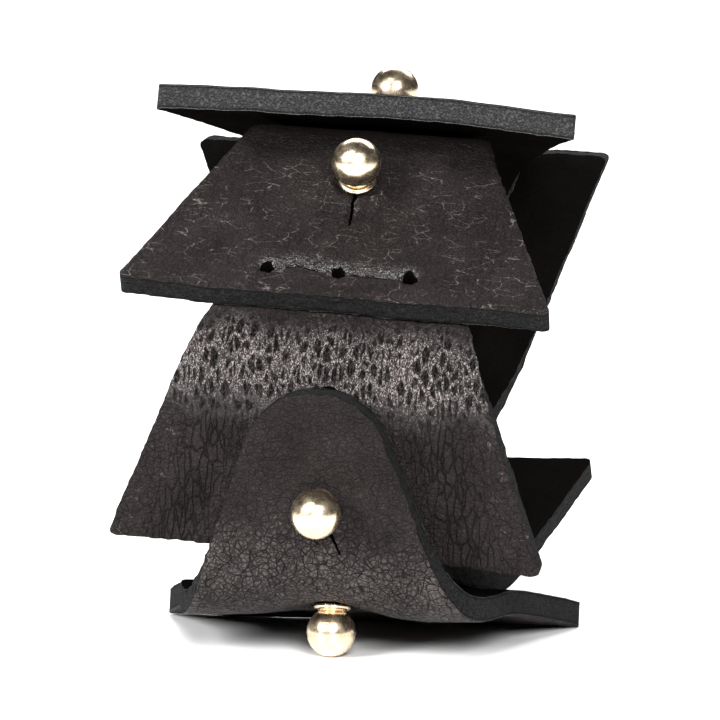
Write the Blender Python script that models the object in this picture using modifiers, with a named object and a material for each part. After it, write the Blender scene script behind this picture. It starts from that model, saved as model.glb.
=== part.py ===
"""Leather cuff: six thick leather links, buttoned into a ring by six ball studs.

The ring lies on its side: its hole runs along X, +Y goes away from the front, +Z is up, and the
floor is at Z = 0. Going round the ring the links overlap like roof tiles. Each link starts at a
straight wide edge, bends once at its crease, and ends in a round tongue that lies under the wide
end of the link before it. The base link's tongue is the clasp: it lies over the lower front link.
Every link is two solids that meet at the crease, because the ring opens by flexing there.
"""

import math

import bmesh
import bpy
from mathutils import Matrix, Vector

MM = 0.001

# Leather
THICK = 3.2 * MM
FIT = 0.3 * MM  # clearance between pieces that touch
LAYER = THICK + FIT  # from the middle of one layer to the middle of the next
CLASP_PLAY = 0.5 * MM  # more room under the clasp tongue

# One link, laid flat: distances run from its wide edge towards its tongue
HALF_WIDE = 26.5 * MM
TIP_RADIUS = 9.0 * MM
SIDE_ANGLE = 20.0  # of the straight sides where they run into the tip, in degrees
CORNER_RADIUS = 0.9 * MM
KEYHOLE_AT = 18.6 * MM
CLASP_AT = 7.0 * MM  # the clasp's stud, on the lower front link
ROW_AT = 4.0 * MM  # row of three small holes joined by a slit
ROW_PITCH = 8.7 * MM
ROW_HOLE_RADIUS = 0.9 * MM
NECK_HOLE_RADIUS = 1.9 * MM
SLIT_WIDTH = 0.5 * MM
SLIT_LENGTH = 6.6 * MM
CLASP_SLIT_LENGTH = 4.4 * MM
CLASP_OFFSET = 0.4 * MM  # how far the clasp's keyhole sits from the tongue's middle
BASE_KEYHOLE_AT = 27.4 * MM
STUD_TO_TIP = {  # from the stud that holds a link's tongue to the end of the tongue
    "top": 6.5 * MM,
    "upper_front": 5.0 * MM,
    "lower_front": 6.5 * MM,
    "base": 13.7 * MM,
    "lower_back": 4.0 * MM,
    "upper_back": 8.0 * MM,
}

# One stud: heights run along its axis from the middle of the outer leather layer
BALL_RADIUS = 3.0 * MM
BALL_HEIGHT = 5.6 * MM
COLLAR_RADIUS = 2.3 * MM
COLLAR_BOTTOM = 2.0 * MM
COLLAR_BEVEL = 0.4 * MM
COLLAR_TOP = 2.8 * MM
WAIST_RADIUS = 1.84 * MM  # where the ball meets its collar
NECK_RADIUS = 1.5 * MM
FOOT_RADIUS = 2.5 * MM
FOOT_TOP = -2.1 * MM
FOOT_THICK = 0.7 * MM
FOOT_RECESS = 1.1 * MM
FOOT_RECESS_RADIUS = 2.9 * MM
BORE_RADIUS = 1.2 * MM
BORE_TOP = 0.6 * MM
SHANK_RADIUS = 0.9 * MM
SHANK_TOP = 0.2 * MM
SHANK_HOLE_RADIUS = 1.3 * MM
SCREW_HEAD_RADIUS = 2.6 * MM
SCREW_HEAD_THICK = 0.9 * MM
SCREW_HEAD_BEVEL = 0.3 * MM
SCREW_SLOT_WIDTH = 0.8 * MM
SCREW_SLOT_DEPTH = 0.45 * MM

TURN_STEPS = 24
BALL_STEPS = 12
TIP_STEPS = 14
CORNER_STEPS = 4
FOLD_STEP = 0.9 * MM  # between the fold lines of a crease
SNAP = 0.002 * MM  # points closer than this to a fold line are on it
MERGE = 0.01 * MM
SHARP_DEG = 32.0  # edges bent more than this are shaded as sharp

# Where each link's wide edge lies (Y, Z in mm) and which way the link heads from it, in degrees
# from +Y towards +Z
TOP_EDGE, TOP_HEADING = (19.5, 65.3), -14.0
UPPER_FRONT_EDGE, UPPER_FRONT_HEADING = (0.0, 43.4), 40.0
LOWER_FRONT_EDGE, LOWER_FRONT_HEADING = (0.8, 13.8), 98.0
BASE_EDGE, BASE_HEADING = (31.6, 1.58), 165.5
LOWER_BACK_EDGE, LOWER_BACK_HEADING = (44.8, 18.4), 219.5
UPPER_BACK_EDGE, UPPER_BACK_HEADING = (48.5, 58.4), 274.0

# Bend radii of the middle of the leather, in mm
TOP_BEND = 5.0
UPPER_FRONT_BEND = 5.0
LOWER_FRONT_BEND = 8.5
BASE_BEND = 4.0
LOWER_BACK_BEND = 6.0
UPPER_BACK_BEND = 12.0

# How far each link is turned about the stud that holds its tongue, in degrees
BASE_YAW = -0.47
LOWER_BACK_SWIVEL = -1.1
UPPER_BACK_SWIVEL = 2.0
TOP_SWIVEL = 1.0
UPPER_FRONT_SWIVEL = 2.3
UPPER_FRONT_TWIST = 1.1  # the upper front link is also twisted along its length, at its crease
LOWER_FRONT_SWIVEL = 1.6

# Moves the ring so that the origin is under the middle of it, on the floor, in mm
RING_SHIFT = (-0.172, -22.994, -0.02)

LEATHER_COLOUR = (0.035, 0.031, 0.029, 1.0)
GOLD_COLOUR = (0.80, 0.66, 0.42, 1.0)


class Line:
    """A straight stretch of leather seen from the side: a point and a heading in the YZ plane."""

    def __init__(self, point, heading):
        self.point = Vector(point)
        self.heading = heading
        angle = math.radians(heading)
        self.along = Vector((math.cos(angle), math.sin(angle)))
        self.outward = Vector((-self.along.y, self.along.x))

    def offset(self, distance):
        """The same stretch, moved outward."""
        return Line(self.point + self.outward * distance, self.heading)

    def at(self, distance):
        return self.point + self.along * distance

    def crossing(self, other):
        """Where this line meets another."""
        gap = other.point - self.point
        bottom = self.along.cross(other.along)
        return self.point + self.along * (gap.cross(other.along) / bottom)


class Path:
    """The middle of one link's leather from its wide edge to its tip: straights joined by arcs."""

    def __init__(self, lines, bends, end):
        corners = [line.crossing(after) for line, after in zip(lines, lines[1:])]
        self.pieces = []  # (first s, last s, start point, heading vector, bend radius or None)
        self.arcs = []
        here = lines[0].point
        s = 0.0
        for i, corner in enumerate(corners):
            turn = lines[i].along.angle(lines[i + 1].along)
            radius = bends[i] * MM
            tangent = radius * math.tan(turn / 2)
            straight = (corner - here).length - tangent
            self.pieces.append((s, s + straight, here, lines[i].along, None))
            s += straight
            start = corner - lines[i].along * tangent
            self.pieces.append((s, s + radius * turn, start, lines[i].along, radius))
            self.arcs.append((s, s + radius * turn))
            s += radius * turn
            here = corner + lines[i + 1].along * tangent
        self.length = s + (end - here).length
        self.pieces.append((s, self.length, here, lines[-1].along, None))

    def frame(self, s):
        """Point, heading and outward direction at distance s from the wide edge."""
        for first, last, start, along, radius in self.pieces:
            if s <= last or last == self.length:
                break
        outward = Vector((-along.y, along.x))
        if radius is None:
            return start + along * (s - first), along, outward
        turn = (s - first) / radius
        point = start + along * (radius * math.sin(turn)) - outward * (radius * (1 - math.cos(turn)))
        heading = along * math.cos(turn) - outward * math.sin(turn)
        return point, heading, Vector((-heading.y, heading.x))

    def stations(self, first, last):
        """Distances between first and last where the leather needs a fold line."""
        marks = []
        for start, stop in self.arcs:
            count = max(2, math.ceil((stop - start) / FOLD_STEP))
            marks += [start + (stop - start) * i / count for i in range(count + 1)]
        return [s for s in marks if first + FIT < s < last - FIT]


def clear_scene():
    for item in list(bpy.data.objects):
        bpy.data.objects.remove(item, do_unlink=True)


def new_collection(name):
    collection = bpy.data.collections.new(name)
    bpy.context.scene.collection.children.link(collection)
    return collection


def new_material(name, colour, roughness, metallic):
    material = bpy.data.materials.new(name)
    material.use_nodes = True
    shader = material.node_tree.nodes["Principled BSDF"]
    shader.inputs["Base Color"].default_value = colour
    shader.inputs["Roughness"].default_value = roughness
    shader.inputs["Metallic"].default_value = metallic
    return material


def evaluated_mesh(item):
    bpy.context.view_layer.update()
    return bpy.data.meshes.new_from_object(item.evaluated_get(bpy.context.evaluated_depsgraph_get()))


def arc(centre, radius, first_deg, last_deg, count):
    """Points of an arc in the flat pattern."""
    points = []
    for i in range(count + 1):
        angle = math.radians(first_deg + (last_deg - first_deg) * i / count)
        points.append((centre[0] + radius * math.cos(angle), centre[1] + radius * math.sin(angle)))
    return points


def half_width(s, length):
    """Half the width of the flat pattern where its sides are straight."""
    angle = math.radians(SIDE_ANGLE)
    side_end = length - TIP_RADIUS * (1 - math.sin(angle))
    return HALF_WIDE + (TIP_RADIUS * math.cos(angle) - HALF_WIDE) * s / side_end


def panel_outline(length, cut):
    """Flat outline of the wide end, from the wide edge to the cut at the crease."""
    angle = math.radians(SIDE_ANGLE)
    inset = CORNER_RADIUS * (1 + math.sin(angle)) / math.cos(angle)
    right = arc((HALF_WIDE - inset, CORNER_RADIUS), CORNER_RADIUS, -90, SIDE_ANGLE, CORNER_STEPS)
    right.append((half_width(cut, length), cut))
    return right + [(-x, s) for x, s in reversed(right)]


def tongue_outline(length, cut):
    """Flat outline of the tongue, from the cut at the crease to the round tip."""
    tip = arc((0.0, length - TIP_RADIUS), TIP_RADIUS, SIDE_ANGLE, 180 - SIDE_ANGLE, TIP_STEPS)
    wide = half_width(cut, length)
    return [(wide, cut)] + tip + [(-wide, cut)]


def flat_solid(name, outline):
    """A sheet of leather cut to an outline, as a closed mesh."""
    curve = bpy.data.curves.new(name, "CURVE")
    curve.dimensions = "2D"
    curve.fill_mode = "BOTH"
    curve.extrude = THICK / 2
    spline = curve.splines.new("POLY")
    spline.points.add(len(outline) - 1)
    for point, (x, s) in zip(spline.points, outline):
        point.co = (x, s, 0.0, 1.0)
    spline.use_cyclic_u = True
    item = bpy.data.objects.new(name, curve)
    bpy.context.scene.collection.objects.link(item)
    mesh = evaluated_mesh(item)
    bpy.data.objects.remove(item, do_unlink=True)
    sheet = bmesh.new()
    sheet.from_mesh(mesh)
    bmesh.ops.remove_doubles(sheet, verts=sheet.verts, dist=MERGE)
    bmesh.ops.dissolve_limit(sheet, angle_limit=0.001, verts=sheet.verts, edges=sheet.edges)
    bmesh.ops.recalc_face_normals(sheet, faces=sheet.faces)
    sheet.to_mesh(mesh)
    sheet.free()
    return mesh


def cutter(name, mesh, cutters):
    item = bpy.data.objects.new(name, mesh)
    item.display_type = "WIRE"
    item.hide_render = True
    cutters.objects.link(item)
    return item


def drill(name, x, s, radius, bottom, top, cutters):
    """A round cutter standing on the flat leather."""
    shape = bmesh.new()
    place = Matrix.Translation((x, s, (bottom + top) / 2))
    bmesh.ops.create_cone(shape, cap_ends=True, segments=TURN_STEPS, radius1=radius,
                          radius2=radius, depth=top - bottom, matrix=place)
    mesh = bpy.data.meshes.new(name)
    shape.to_mesh(mesh)
    shape.free()
    return cutter(name, mesh, cutters)


def slit(name, x0, x1, s0, s1, cutters):
    """A knife cut through the flat leather."""
    shape = bmesh.new()
    size = Matrix.Diagonal((x1 - x0, s1 - s0, 2 * THICK, 1.0))
    place = Matrix.Translation(((x0 + x1) / 2, (s0 + s1) / 2, 0.0))
    bmesh.ops.create_cube(shape, size=1.0, matrix=place @ size)
    mesh = bpy.data.meshes.new(name)
    shape.to_mesh(mesh)
    shape.free()
    return cutter(name, mesh, cutters)


def cut(mesh, tools):
    """The mesh with every cutter taken out of it."""
    item = bpy.data.objects.new("blank", mesh)
    bpy.context.scene.collection.objects.link(item)
    for tool in tools:
        boolean = item.modifiers.new(tool.name, "BOOLEAN")
        boolean.operation = "DIFFERENCE"
        boolean.solver = "EXACT"
        boolean.object = tool
    result = evaluated_mesh(item)
    bpy.data.objects.remove(item, do_unlink=True)
    return result


def keyhole(name, x, s, slit_length, cutters):
    """The button hole: a round hole with a slit towards the wide edge."""
    half = SLIT_WIDTH / 2
    return [
        drill(name + "_hole", x, s, NECK_HOLE_RADIUS, -THICK, THICK, cutters),
        slit(name + "_slit", x - half, x + half, s - slit_length, s, cutters),
    ]


def hole_row(name, middle_radius, cutters):
    """Three holes along the wide edge, joined by a slit."""
    half = SLIT_WIDTH / 2
    tools = [slit(name + "_slit", -ROW_PITCH, ROW_PITCH, ROW_AT - half, ROW_AT + half, cutters)]
    for x, radius in ((-ROW_PITCH, ROW_HOLE_RADIUS), (0.0, middle_radius), (ROW_PITCH, ROW_HOLE_RADIUS)):
        tools.append(drill(f"{name}_{round(x / MM)}", x, ROW_AT, radius, -THICK, THICK, cutters))
    return tools


def stud_seat(name, s, cutters):
    """Where a stud is fixed: a through hole and a recess for its foot in the grain side."""
    return [
        drill(name + "_hole", 0.0, s, SHANK_HOLE_RADIUS, -THICK, THICK, cutters),
        drill(name + "_recess", 0.0, s, FOOT_RECESS_RADIUS, THICK / 2 - FOOT_RECESS, THICK, cutters),
    ]


def split(sheet, spot, normal):
    """Adds edges where a plane crosses the sheet."""
    everything = sheet.verts[:] + sheet.edges[:] + sheet.faces[:]
    bmesh.ops.bisect_plane(sheet, geom=everything, dist=SNAP, plane_co=spot, plane_no=normal)


def bend(mesh, tools, path, first, last):
    """Folds a flat mesh along the path: fold lines first, then every point onto the path."""
    sheet = bmesh.new()
    sheet.from_mesh(mesh)
    # Lines through the middle of every cutter leave no face that runs all round a hole.
    for tool in tools:
        corners = [Vector(corner) for corner in tool.bound_box]
        middle = sum(corners, Vector()) / len(corners)
        split(sheet, middle, (1, 0, 0))
        split(sheet, middle, (0, 1, 0))
    for s in path.stations(first, last):
        split(sheet, (0, s, 0), (0, 1, 0))
    for vert in sheet.verts:
        point, _, outward = path.frame(vert.co.y)
        place = point + outward * vert.co.z
        vert.co = (vert.co.x, place.x, place.y)
    bmesh.ops.triangulate(sheet, faces=[f for f in sheet.faces if len(f.verts) > 4])
    bmesh.ops.recalc_face_normals(sheet, faces=sheet.faces)
    sheet.to_mesh(mesh)
    sheet.free()
    mesh.shade_smooth()
    mesh.set_sharp_from_angle(angle=math.radians(SHARP_DEG))
    return mesh


def turned(name, profile):
    """A round solid: (radius, height) points down the outer side, spun about Z."""
    mesh = bpy.data.meshes.new(name)
    mesh.from_pydata([(r, 0.0, h) for r, h in profile], [(i, i + 1) for i in range(len(profile) - 1)], [])
    item = bpy.data.objects.new(name, mesh)
    bpy.context.scene.collection.objects.link(item)
    screw = item.modifiers.new("spin", "SCREW")
    screw.steps = TURN_STEPS
    screw.render_steps = TURN_STEPS
    screw.use_merge_vertices = True
    screw.merge_threshold = MERGE
    result = evaluated_mesh(item)
    bpy.data.objects.remove(item, do_unlink=True)
    result.shade_smooth()
    result.set_sharp_from_angle(angle=math.radians(SHARP_DEG))
    return result


def stud_head_mesh():
    """Ball, collar, neck and foot in one turned piece, with a blind bore for the screw."""
    last = math.pi - math.asin(WAIST_RADIUS / BALL_RADIUS)
    angles = [last * i / BALL_STEPS for i in range(BALL_STEPS + 1)]
    ball = [(BALL_RADIUS * math.sin(a), BALL_HEIGHT + BALL_RADIUS * math.cos(a)) for a in angles]
    foot_bottom = FOOT_TOP - FOOT_THICK
    profile = ball + [
        (COLLAR_RADIUS, COLLAR_TOP),
        (COLLAR_RADIUS, COLLAR_BOTTOM + COLLAR_BEVEL),
        (NECK_RADIUS, COLLAR_BOTTOM),
        (NECK_RADIUS, FOOT_TOP),
        (FOOT_RADIUS, FOOT_TOP),
        (FOOT_RADIUS, foot_bottom),
        (BORE_RADIUS, foot_bottom),
        (BORE_RADIUS, BORE_TOP),
        (0.0, BORE_TOP),
    ]
    return turned("stud_head", profile)


def stud_screw_mesh(cutters):
    """Slotted flat head on the flesh side, with the shank that goes up into the stud's bore."""
    head_top = -THICK / 2 - LAYER - FIT
    head_bottom = head_top - SCREW_HEAD_THICK
    profile = [
        (0.0, SHANK_TOP),
        (SHANK_RADIUS, SHANK_TOP),
        (SHANK_RADIUS, head_top),
        (SCREW_HEAD_RADIUS, head_top),
        (SCREW_HEAD_RADIUS, head_bottom + SCREW_HEAD_BEVEL),
        (SCREW_HEAD_RADIUS - SCREW_HEAD_BEVEL, head_bottom),
        (0.0, head_bottom),
    ]
    slot = bmesh.new()
    size = Matrix.Diagonal((3 * SCREW_HEAD_RADIUS, SCREW_SLOT_WIDTH, 2 * SCREW_SLOT_DEPTH, 1.0))
    bmesh.ops.create_cube(slot, size=1.0, matrix=Matrix.Translation((0, 0, head_bottom)) @ size)
    mesh = bpy.data.meshes.new("screw_slot")
    slot.to_mesh(mesh)
    slot.free()
    return cut(turned("stud_screw", profile), [cutter("screw_slot", mesh, cutters)])


def stud_matrix(line, distance, lift=0.0):
    """Stands a stud on a stretch of leather: local Z is outward, local X is across the link."""
    point = line.at(distance) + line.outward * lift
    across = Vector((1.0, 0.0, 0.0))
    outward = Vector((0.0, line.outward.x, line.outward.y))
    along = outward.cross(across)
    turn = Matrix((across, along, outward)).transposed().to_4x4()
    return Matrix.Translation((0.0, point.x, point.y)) @ turn


def swivel(stud, degrees):
    """A turn about a stud's own axis, as a matrix in the frame the stud stands in."""
    return stud @ Matrix.Rotation(math.radians(degrees), 4, "Z") @ stud.inverted()


def twist(path, degrees):
    """A turn about the leather's own length at the crease of a path."""
    point, heading, _ = path.frame(crease_of(path))
    spot = Matrix.Translation((0.0, point.x, point.y))
    turn = Matrix.Rotation(math.radians(degrees), 4, Vector((0.0, heading.x, heading.y)))
    return spot @ turn @ spot.inverted()


def lay_out():
    """The side view of the ring: its straight stretches, and each link's path and place."""
    top = Line(Vector(TOP_EDGE) * MM, TOP_HEADING)
    upper_front = Line(Vector(UPPER_FRONT_EDGE) * MM, UPPER_FRONT_HEADING)
    lower_front = Line(Vector(LOWER_FRONT_EDGE) * MM, LOWER_FRONT_HEADING)
    base = Line(Vector(BASE_EDGE) * MM, BASE_HEADING)
    lower_back = Line(Vector(LOWER_BACK_EDGE) * MM, LOWER_BACK_HEADING)
    upper_back = Line(Vector(UPPER_BACK_EDGE) * MM, UPPER_BACK_HEADING)

    clasp = lower_front.offset(LAYER + CLASP_PLAY)
    paths = {
        "top": Path([top, upper_back.offset(-LAYER)], [TOP_BEND],
                    upper_back.offset(-LAYER).at(KEYHOLE_AT + STUD_TO_TIP["top"])),
        "upper_front": Path([upper_front, top.offset(-LAYER)], [UPPER_FRONT_BEND],
                            top.offset(-LAYER).at(KEYHOLE_AT + STUD_TO_TIP["upper_front"])),
        "lower_front": Path([lower_front, upper_front.offset(-LAYER)], [LOWER_FRONT_BEND],
                            upper_front.offset(-LAYER).at(KEYHOLE_AT + STUD_TO_TIP["lower_front"])),
        "base": Path([base, clasp], [BASE_BEND], clasp.at(CLASP_AT + STUD_TO_TIP["base"])),
        "lower_back": Path([lower_back, base.offset(-LAYER)], [LOWER_BACK_BEND],
                           base.offset(-LAYER).at(BASE_KEYHOLE_AT + STUD_TO_TIP["lower_back"])),
        "upper_back": Path([upper_back, lower_back.offset(-LAYER)], [UPPER_BACK_BEND],
                           lower_back.offset(-LAYER).at(ROW_AT + STUD_TO_TIP["upper_back"])),
    }
    studs = {
        "base": stud_matrix(base, BASE_KEYHOLE_AT),
        "lower_back": stud_matrix(lower_back, ROW_AT),
        "upper_back": stud_matrix(upper_back, KEYHOLE_AT),
        "top": stud_matrix(top, KEYHOLE_AT),
        "upper_front": stud_matrix(upper_front, KEYHOLE_AT),
        "clasp": stud_matrix(lower_front, CLASP_AT, LAYER + CLASP_PLAY / 2),
    }
    middle = Matrix.Translation((0.0, base.point.x, 0.0))
    places = {
        "base": Matrix.Translation(Vector(RING_SHIFT) * MM)
        @ middle @ Matrix.Rotation(math.radians(BASE_YAW), 4, "Z") @ middle.inverted()
    }
    places["lower_back"] = places["base"] @ swivel(studs["base"], LOWER_BACK_SWIVEL)
    places["upper_back"] = places["lower_back"] @ swivel(studs["lower_back"], UPPER_BACK_SWIVEL)
    places["top"] = places["upper_back"] @ swivel(studs["upper_back"], TOP_SWIVEL)
    places["upper_front_tongue"] = places["top"] @ swivel(studs["top"], UPPER_FRONT_SWIVEL)
    places["upper_front"] = places["upper_front_tongue"] @ twist(paths["upper_front"], UPPER_FRONT_TWIST)
    places["lower_front"] = places["upper_front"] @ swivel(studs["upper_front"], LOWER_FRONT_SWIVEL)
    return paths, studs, places


def crease_of(path):
    """Distance of the middle of the crease from the wide edge: the sharpest turn."""
    first, last = max(path.arcs, key=lambda ends: path.frame(ends[0])[1].angle(path.frame(ends[1])[1]))
    return (first + last) / 2


def build_link(name, path, panel_place, tongue_place, tools, parts, leather):
    """Makes a link's wide panel and its tongue, cut apart at the crease."""
    crease = crease_of(path)
    made = []
    near, far = crease - FIT / 2, crease + FIT / 2
    for part, place, outline, first, last in (
        ("panel", panel_place, panel_outline(path.length, near), 0.0, near),
        ("tongue", tongue_place, tongue_outline(path.length, far), far, path.length),
    ):
        title = f"{name}_{part}"
        mesh = bend(cut(flat_solid(title, outline), tools[part]), tools[part], path, first, last)
        mesh.materials.clear()
        mesh.materials.append(leather)
        item = bpy.data.objects.new(title, mesh)
        item.matrix_world = place
        parts.objects.link(item)
        made.append(item)
    return made


def hinge_frame(path, place):
    """An empty's matrix on a crease: its X axis is the line that the leather flexes about."""
    point, _, outward = path.frame(crease_of(path))
    spot = point + outward * (THICK / 2)
    return place @ Matrix.Translation((0.0, spot.x, spot.y))


def main():
    clear_scene()
    parts = new_collection("leather_cuff")
    cutters = new_collection("cutters")
    leather = new_material("black_leather", LEATHER_COLOUR, 0.5, 0.0)
    gold = new_material("pale_gold", GOLD_COLOUR, 0.22, 1.0)
    paths, studs, places = lay_out()

    made = {}
    for name, path in paths.items():
        tools = {"panel": [], "tongue": []}
        if name == "base":
            tools["panel"] += keyhole("base_keyhole", 0.0, BASE_KEYHOLE_AT, SLIT_LENGTH, cutters)
            spot = path.length - STUD_TO_TIP[name]
            tools["tongue"] += keyhole("clasp_keyhole", CLASP_OFFSET, spot, CLASP_SLIT_LENGTH, cutters)
        elif name == "lower_front":
            tools["panel"] += keyhole(name + "_keyhole", 0.0, KEYHOLE_AT, SLIT_LENGTH, cutters)
            tools["panel"] += stud_seat("clasp_seat", CLASP_AT, cutters)
            tools["tongue"] += stud_seat(name + "_seat", path.length - STUD_TO_TIP[name], cutters)
        else:
            middle = NECK_HOLE_RADIUS if name == "lower_back" else ROW_HOLE_RADIUS
            tools["panel"] += keyhole(name + "_keyhole", 0.0, KEYHOLE_AT, SLIT_LENGTH, cutters)
            tools["panel"] += hole_row(name + "_row", middle, cutters)
            tools["tongue"] += stud_seat(name + "_seat", path.length - STUD_TO_TIP[name], cutters)
        tongue_place = places.get(name + "_tongue", places[name])
        made[name] = build_link(name + "_link", path, places[name], tongue_place, tools, parts, leather)

    head = stud_head_mesh()
    screw = stud_screw_mesh(cutters)
    for mesh in (head, screw):
        mesh.materials.clear()
        mesh.materials.append(gold)
    holders = {"base": "base", "lower_back": "lower_back", "upper_back": "upper_back",
               "top": "top", "upper_front": "upper_front", "clasp": "lower_front"}
    for name, stud in studs.items():
        for part, mesh in (("head", head), ("screw", screw)):
            item = bpy.data.objects.new(f"{name}_stud_{part}", mesh)
            item.matrix_world = places[holders[name]] @ stud
            parts.objects.link(item)
            made.setdefault(name + "_stud", []).append(item)

    # Each moving group hangs from an empty on the crease it flexes about.
    base_panel, clasp_tongue = made["base"]
    groups = {
        "clasp_crease": ("base", [clasp_tongue]),
        "lower_back_crease": ("lower_back", [made["lower_back"][0], made["upper_back"][1]]
                              + made["lower_back_stud"]),
        "upper_back_crease": ("upper_back", [made["upper_back"][0], made["top"][1]]
                              + made["upper_back_stud"]),
        "top_crease": ("top", [made["top"][0], made["upper_front"][1]] + made["top_stud"]),
        "upper_front_crease": ("upper_front", [made["upper_front"][0], made["lower_front"][1]]
                               + made["upper_front_stud"]),
        "lower_front_crease": ("lower_front", [made["lower_front"][0]] + made["clasp_stud"]),
    }
    for name, (link, members) in groups.items():
        pivot = bpy.data.objects.new(name, None)
        pivot.empty_display_size = 5 * MM
        pivot.matrix_world = hinge_frame(paths[link], places[link])
        parts.objects.link(pivot)
        for member in members:
            world = member.matrix_world.copy()
            member.parent = pivot
            member.matrix_parent_inverse = pivot.matrix_world.inverted()
            member.matrix_basis = world


main()
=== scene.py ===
"""Leather cuff: six buttoned leather links with ball studs, shown lying on its side."""

import math

import bpy
import numpy as np
from mathutils import Matrix, Vector

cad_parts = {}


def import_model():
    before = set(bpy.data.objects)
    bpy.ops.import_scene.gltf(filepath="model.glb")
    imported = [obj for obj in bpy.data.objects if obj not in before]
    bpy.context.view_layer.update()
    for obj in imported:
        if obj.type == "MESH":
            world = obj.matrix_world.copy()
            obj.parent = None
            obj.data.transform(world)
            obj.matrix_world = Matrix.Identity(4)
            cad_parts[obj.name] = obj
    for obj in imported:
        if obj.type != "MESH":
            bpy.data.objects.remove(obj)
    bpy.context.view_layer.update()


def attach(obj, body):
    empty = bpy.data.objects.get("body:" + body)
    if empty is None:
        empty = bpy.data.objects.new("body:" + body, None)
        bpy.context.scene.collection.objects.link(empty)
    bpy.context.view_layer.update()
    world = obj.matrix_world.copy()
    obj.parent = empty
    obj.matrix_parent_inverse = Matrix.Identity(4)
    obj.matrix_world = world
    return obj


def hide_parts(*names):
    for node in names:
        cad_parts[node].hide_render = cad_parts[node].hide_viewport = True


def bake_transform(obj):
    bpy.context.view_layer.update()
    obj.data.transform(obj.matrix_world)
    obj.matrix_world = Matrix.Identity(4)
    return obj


MM = 0.001

# ---- The ring's layout: the CAD model's, but for a rounder bend of the base --------------------
THICK = 3.2 * MM
LAYER = 3.5 * MM  # between the middles of two links that lie on each other
CLASP_PLAY = 0.5 * MM
HALF_WIDE = 26.5 * MM
TIP_RADIUS = 9.0 * MM
SIDE_ANGLE = math.radians(20.0)
CORNER_RADIUS = 0.9 * MM
KEYHOLE_AT = 18.6 * MM
CLASP_AT = 7.0 * MM
BASE_KEYHOLE_AT = 27.4 * MM
ROW_AT = 4.0 * MM
ROW_PITCH = 8.7 * MM
CLASP_OFFSET = 0.4 * MM
BALL_HEIGHT = 5.6 * MM
# In mm and degrees: from the stud at a link's tongue to its tip; the wide edge and heading in the
# side view; the radius of the bend; the base's turn on the floor; and the swivels about the studs
STUD_TO_TIP = {"top": 6.5, "upper_front": 5.0, "lower_front": 6.5, "base": 13.7, "lower_back": 4.0,
               "upper_back": 8.0}
EDGES = {"top": ((19.5, 65.3), -14.0), "upper_front": ((0.0, 43.4), 40.0),
         "lower_front": ((0.8, 13.8), 98.0), "base": ((31.6, 1.58), 165.5),
         "lower_back": ((44.8, 18.4), 219.5), "upper_back": ((48.5, 58.4), 274.0)}
BENDS = {"top": 5.0, "upper_front": 5.0, "lower_front": 8.5, "base": 11.0, "lower_back": 6.0,
         "upper_back": 12.0}
BASE_YAW = -0.47
SWIVELS = {"lower_back": -1.1, "upper_back": 2.0, "top": 1.0, "upper_front": 2.3, "lower_front": 1.6}
UPPER_FRONT_TWIST = 1.1
RING_SHIFT = (-0.172, -22.994, -0.02)

# Holes and slits: radii, lengths from the hole's middle, and how far the clasp's slit leans
NECK_HOLE = 1.75 * MM
SLIT = 6.6 * MM
CLASP_SLIT = 5.6 * MM
CLASP_SLIT_LEAN = 0.42
ROW_HOLE_LEFT = 0.86 * MM
ROW_HOLE_MIDDLE = 0.82 * MM
ROW_HOLE_RIGHT = 0.92 * MM
WITHOUT_ROW = ("base", "lower_front")

# The clasp tongue's outline where it lies on the lower front link
CLASP_HALF_WIDTH = 9 * MM
CLASP_WIDENING = 0.36
CLASP_ROUND_FROM = 20 * MM

# Which CAD body holds each stud
STUD_HOLDER = {"base": "base", "lower_back": "lower_back", "upper_back": "upper_back", "top": "top",
               "upper_front": "upper_front", "clasp": "lower_front"}


class Line:
    """A straight stretch of leather seen from the side."""

    def __init__(self, point, heading):
        self.point = Vector(point)
        self.heading = heading
        angle = math.radians(heading)
        self.along = Vector((math.cos(angle), math.sin(angle)))
        self.outward = Vector((-self.along.y, self.along.x))

    def offset(self, distance):
        return Line(self.point + self.outward * distance, self.heading)

    def at(self, distance):
        return self.point + self.along * distance

    def crossing(self, other):
        gap = other.point - self.point
        return self.point + self.along * (gap.cross(other.along) / self.along.cross(other.along))


class Path:
    """The middle of one link's leather: a straight, the bend, a straight."""

    def __init__(self, first, second, bend, end):
        corner = first.crossing(second)
        turn = first.along.angle(second.along)
        self.radius = bend * MM
        tangent = self.radius * math.tan(turn / 2)
        self.start = np.array(first.point)
        self.along = np.array(first.along)
        self.outward = np.array(first.outward)
        self.bend_from = (corner - first.point).length - tangent
        self.bend_to = self.bend_from + self.radius * turn
        self.turn = turn
        after = corner + second.along * tangent
        self.length = self.bend_to + (end - after).length

    def frames(self, s):
        """Points, headings and outward directions at distances s, as arrays."""
        s = np.asarray(s, float)[:, None]
        angle = np.clip((s - self.bend_from) / self.radius, 0.0, self.turn)
        sine, cosine = np.sin(angle), np.cos(angle)
        before = self.start + self.along * np.minimum(s, self.bend_from)
        heading = self.along * cosine - self.outward * sine
        outward = np.stack([-heading[:, 1], heading[:, 0]], 1)
        point = before + self.along * self.radius * sine - self.outward * self.radius * (1 - cosine)
        point = point + heading * np.maximum(s - self.bend_to, 0.0)
        return point, heading, outward


def stud_matrix(line, distance, lift=0.0):
    """A stud's frame on a line: Z points outward, X across the link."""
    point = line.at(distance) + line.outward * lift
    across = Vector((1.0, 0.0, 0.0))
    outward = Vector((0.0, line.outward.x, line.outward.y))
    turn = Matrix((across, outward.cross(across), outward)).transposed().to_4x4()
    return Matrix.Translation((0.0, point.x, point.y)) @ turn


def swivel(stud, degrees):
    """A turn about a stud."""
    return stud @ Matrix.Rotation(math.radians(degrees), 4, "Z") @ stud.inverted()


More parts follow.
